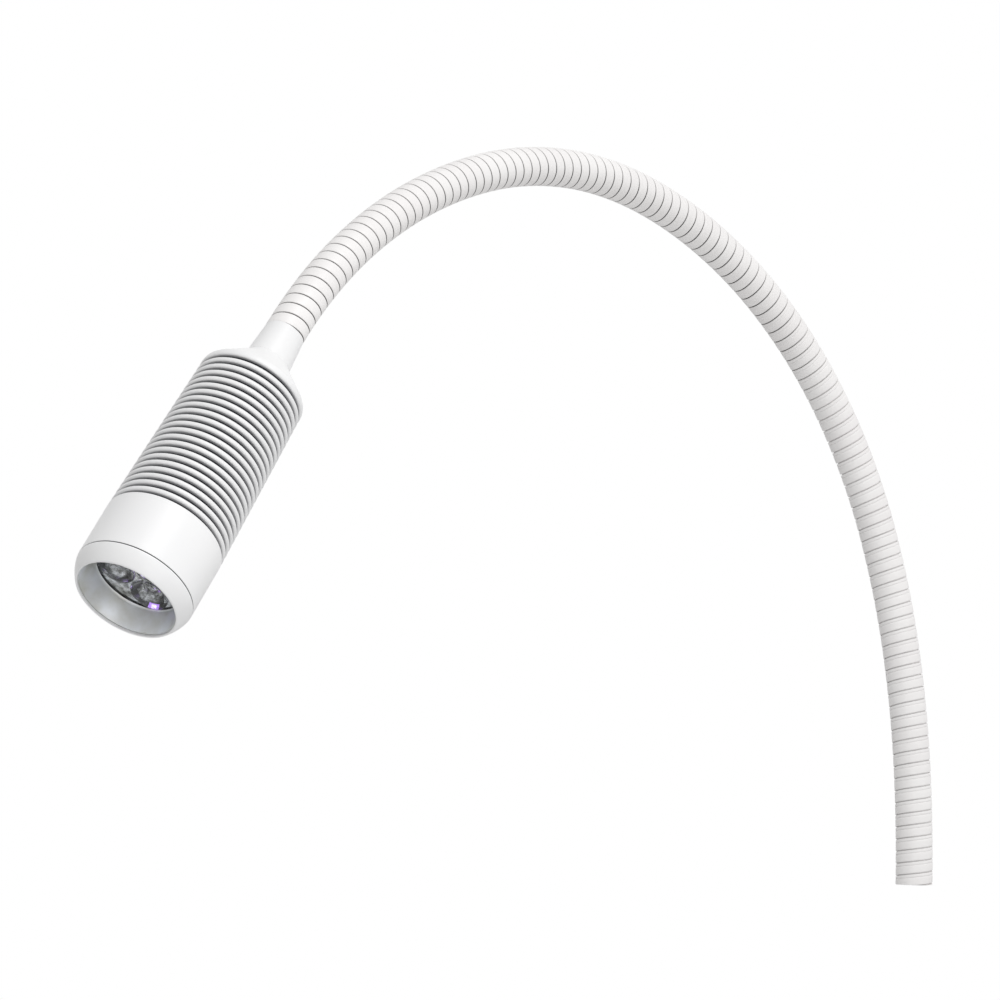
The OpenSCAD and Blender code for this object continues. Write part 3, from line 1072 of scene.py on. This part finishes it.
# ---------------------------------------------------------------------------
# Seal and recess cone: a black rubber ring on the optic's flange, and a spun
# aluminium cone with a satin finish that leads out from the lens to the lip.
# ---------------------------------------------------------------------------
seal_rubber = shop_finish(
    "seal_rubber",
    (0.015, 0.015, 0.016),
    (0.022, 0.022, 0.022),
    rough=(0.55, 0.7),
    patch_mm=6,
    grain_mm=0.3,
    depth_mm=0.01,
)
finish_nodes(seal_rubber, "optic_seal")
cone_aluminium = shop_finish(
    "cone_aluminium",
    (0.86, 0.89, 0.94),
    (0.62, 0.62, 0.57),
    rough=(0.36, 0.46),
    patch_mm=18,
    grain_mm=0.3,
    depth_mm=0.16,
    metallic=0.7,
)
placed(
    "recess_cone",
    turned_mesh(
        "recess_cone",
        [
            (21.6, 158.8),
            (21.75, 159.1),
            (22.0, 159.6, 0.3),
            (24.7, 171.2, 0.2),
            (25.5, 171.2, 0.2),
            (23.4, 161.8),
            (26.1, 161.8),
            (26.1, 160.3),
            (22.35, 160.3),
            (22.35, 158.8),
        ],
    ),
    cone_aluminium,
    "head",
)


# ---------------------------------------------------------------------------
# Bezel: a white ring that screws on the barrel's front and holds the cone and
# the optic. Its front edge is rounded over to a thin lip. A dark joint line
# shows where it meets the barrel.
# ---------------------------------------------------------------------------
NOSE_R, NOSE_MIDDLE_R, NOSE_MIDDLE = 24, 6.3, 158.6
NOSE_ANGLES = (14, 16, 19, 22, 25, 28, 31, 33.5)
BACK_FACE_TO, BACK_FACE_R = 164.0, 29.4

nose = [
    (NOSE_MIDDLE_R + NOSE_R * math.cos(angle), NOSE_MIDDLE + NOSE_R * math.sin(angle))
    for angle in map(math.radians, NOSE_ANGLES)
]


def bezel_soil(radius, distance):
    """The bezel's back face is dark, which makes the joint line."""
    return 1.0 if distance < BACK_FACE_TO and radius < BACK_FACE_R else 0.0


placed(
    "bezel_ring",
    turned_mesh(
        "bezel_ring",
        [
            (29.3, 163.6),
            (29.67, 163.6, 0.2),
            *nose,
            (25.8, 172.55, 0.3),
            (25.0, 172.55, 0.2),
            (25.0, 171.4),
            (25.65, 171.4),
            (27.55, 166.8),
            (27.55, 163.6),
        ],
        soil=bezel_soil,
    ),
    head_coating,
    "bezel",
)


# ---------------------------------------------------------------------------
# Studio: a plain pale floor well below the lamp, a soft white surround that is
# brighter on the upper right, a large lamp there, and the camera below the
# head's height.
# ---------------------------------------------------------------------------
FLOOR_DEPTH, FLOOR_REACH = -0.95, 8
FLOOR_PAINT = (0.8, 0.8, 0.8, 1)
AZIMUTH, ELEVATION, ROLL = (math.radians(x) for x in (-46.27, -2.56, 1.13))
CAMERA_DISTANCE = 2.4997
VIEW_CENTRE = (-0.22433, 0.20838)
FOCAL_SHARE = 4.6131
SENSOR = 36
BRIGHT_SIDE = (0.62, -0.65, 0.42)
DIMMEST, BRIGHTEST = 0.35, 0.79


def shows_as_white(tree):
    """One where the camera, a reflection or a clear part looks straight at the surround."""
    rays = node_in(tree, "ShaderNodeLightPath").outputs
    seen = calc(tree, "MAXIMUM", rays["Is Camera Ray"], rays["Is Glossy Ray"])
    return calc(tree, "MAXIMUM", seen, rays["Is Transmission Ray"])


world = bpy.data.worlds.new("studio")
world.use_nodes = True
bpy.context.scene.world = world
tree = world.node_tree
ambient = tree.nodes["Background"]
sky = node_in(tree, "ShaderNodeTexCoord").outputs["Generated"]
sky = vector_calc(tree, "DOT_PRODUCT", sky, BRIGHT_SIDE)
sky = ranged(tree, sky, -1.0, 1.0, DIMMEST, BRIGHTEST)
surround = mixed(tree, shows_as_white(tree), sky, (1, 1, 1, 1))
tree.links.new(surround, ambient.inputs["Color"])

floor_mesh = bpy.data.meshes.new("floor")
floor_mesh.from_pydata(
    [
        (x * FLOOR_REACH, y * FLOOR_REACH, FLOOR_DEPTH)
        for x, y in ((-1, -1), (1, -1), (1, 1), (-1, 1))
    ],
    [],
    [(0, 1, 2, 3)],
)
floor = bpy.data.objects.new("floor", floor_mesh)
bpy.context.scene.collection.objects.link(floor)
floor_paint = bpy.data.materials.new("floor_paint")
floor_paint.use_nodes = True
shader = floor_paint.node_tree.nodes["Principled BSDF"]
shader.inputs["Base Color"].default_value = FLOOR_PAINT
shader.inputs["Roughness"].default_value = 0.9
floor_mesh.materials.append(floor_paint)

back = Vector(
    (
        math.sin(AZIMUTH) * math.cos(ELEVATION),
        -math.cos(AZIMUTH) * math.cos(ELEVATION),
        math.sin(ELEVATION),
    )
)
level_right = Vector((math.cos(AZIMUTH), math.sin(AZIMUTH), 0))
level_up = back.cross(level_right)
right = math.cos(ROLL) * level_right + math.sin(ROLL) * level_up
up = math.cos(ROLL) * level_up - math.sin(ROLL) * level_right
camera_data = bpy.data.cameras.new("camera")
camera_data.sensor_width = SENSOR
camera_data.lens = FOCAL_SHARE * SENSOR
camera_data.clip_start, camera_data.clip_end = 0.05, 50
camera = bpy.data.objects.new("camera", camera_data)
bpy.context.scene.collection.objects.link(camera)
stand = Matrix.Identity(4)
for column, direction in enumerate((right, up, back)):
    stand.col[column].xyz = direction
stand.translation = back * CAMERA_DISTANCE + right * VIEW_CENTRE[0] + up * VIEW_CENTRE[1]
camera.matrix_world = stand
bpy.context.scene.camera = camera


def soft_lamp(name, aim, direction, distance, size, strength):
    """A square lamp that shines on a point of the object from this direction."""
    lamp_data = bpy.data.lights.new(name, "AREA")
    lamp_data.size = size
    lamp_data.energy = strength
    lamp = bpy.data.objects.new(name, lamp_data)
    bpy.context.scene.collection.objects.link(lamp)
    lamp.location = aim + direction.normalized() * distance
    lamp.rotation_euler = direction.to_track_quat("Z", "Y").to_euler()


crown = centre_line[len(centre_line) // 2]
soft_lamp(
    "key_lamp",
    aim=crown,
    direction=right * 0.3 + up * 0.75 + back * 0.6,
    distance=3.0,
    size=1.6,
    strength=34,
)
soft_lamp(
    "fill_lamp",
    aim=neck_end,
    direction=right * 0.3 + up * -0.1 + back * 0.95,
    distance=1.0,
    size=0.5,
    strength=1.4,
)

bpy.context.scene.view_settings.view_transform = "Standard"
